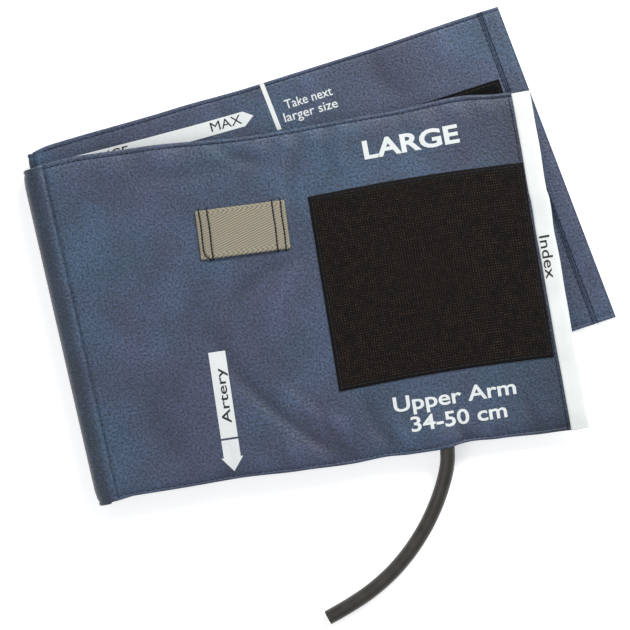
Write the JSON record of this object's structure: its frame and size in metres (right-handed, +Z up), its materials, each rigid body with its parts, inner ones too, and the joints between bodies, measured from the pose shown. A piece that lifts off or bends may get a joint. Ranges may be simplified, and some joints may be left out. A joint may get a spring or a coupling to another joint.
{
  "type": "blood pressure cuff",
  "caption": "Arm cuff rolled up for storage: nylon sleeve with a rubber bladder, hook and loop closure, white index edge, gauge strap and an air hose.",
  "frame": {"origin": "on the table under the middle of the rolled cuff, with the hose left out", "axes": "+X along the cuff from its cover fold towards the index edge, +Y across the cuff towards the long edge away from the hose, +Z up from the table"},
  "size_m": [0.2686, 0.2638, 0.0181],
  "materials": {
    "nylon_navy": "satin coated nylon",
    "nylon_lining": "matte coated nylon",
    "rubber_black": "satin",
    "hook_black": "hook tape",
    "loop_black": "loop pile",
    "webbing_grey": "woven twill",
    "binding_white": "satin coated tape",
    "thread_black": "spun thread"
  },
  "bodies": {
    "middle_panel": {"middle_outer_shell": "nylon_navy", "middle_inner_shell": "nylon_lining", "bladder_back_outer": "rubber_black", "bladder_back_inner": "rubber_black", "return_inner_shell": "nylon_lining", "return_outer_shell": "nylon_navy", "cover_turn_outer": "nylon_navy", "cover_turn_inner": "nylon_lining", "bladder_turn_outer": "rubber_black", "bladder_turn_inner": "rubber_black", "roll_turn_outer": "nylon_navy", "roll_turn_inner": "nylon_lining", "tail_turn_outer": "nylon_navy", "tail_turn_inner": "nylon_lining"},
    "tail": {"tail_outer_shell": "nylon_navy", "tail_inner_shell": "nylon_lining", "loop_patch": "loop_black", "tail_hem": "nylon_navy"},
    "cover_panel": {"cover_outer_shell": "nylon_navy", "cover_inner_shell": "nylon_lining", "bladder_front_outer": "rubber_black", "bladder_front_inner": "rubber_black", "hook_patch": "hook_black", "gauge_strap": "webbing_grey", "strap_stitch_row_1": "thread_black", "strap_stitch_row_2": "thread_black", "strap_stitch_row_3": "thread_black", "strap_stitch_row_4": "thread_black", "index_binding": "binding_white", "bladder_port": "rubber_black", "air_hose": "rubber_black"}
  },
  "joints": [
    {"name": "cover_fold", "type": "hinge", "parent": "middle_panel", "child": "cover_panel", "pos_m": [-0.11261, 0.09575, 0.0086], "axis": [-0.0785, -0.9969, 0], "range_deg": [0, 179.9], "deforming": ["cover_turn_outer", "cover_turn_inner", "bladder_turn_outer", "bladder_turn_inner"]},
    {"name": "tail_pull", "type": "slide", "parent": "middle_panel", "child": "tail", "axis": [0.9977, -0.0671, 0], "range_m": [0, 0.1268], "deforming": ["return_inner_shell", "return_outer_shell", "roll_turn_outer", "roll_turn_inner", "tail_turn_outer", "tail_turn_inner"]}
  ]
}
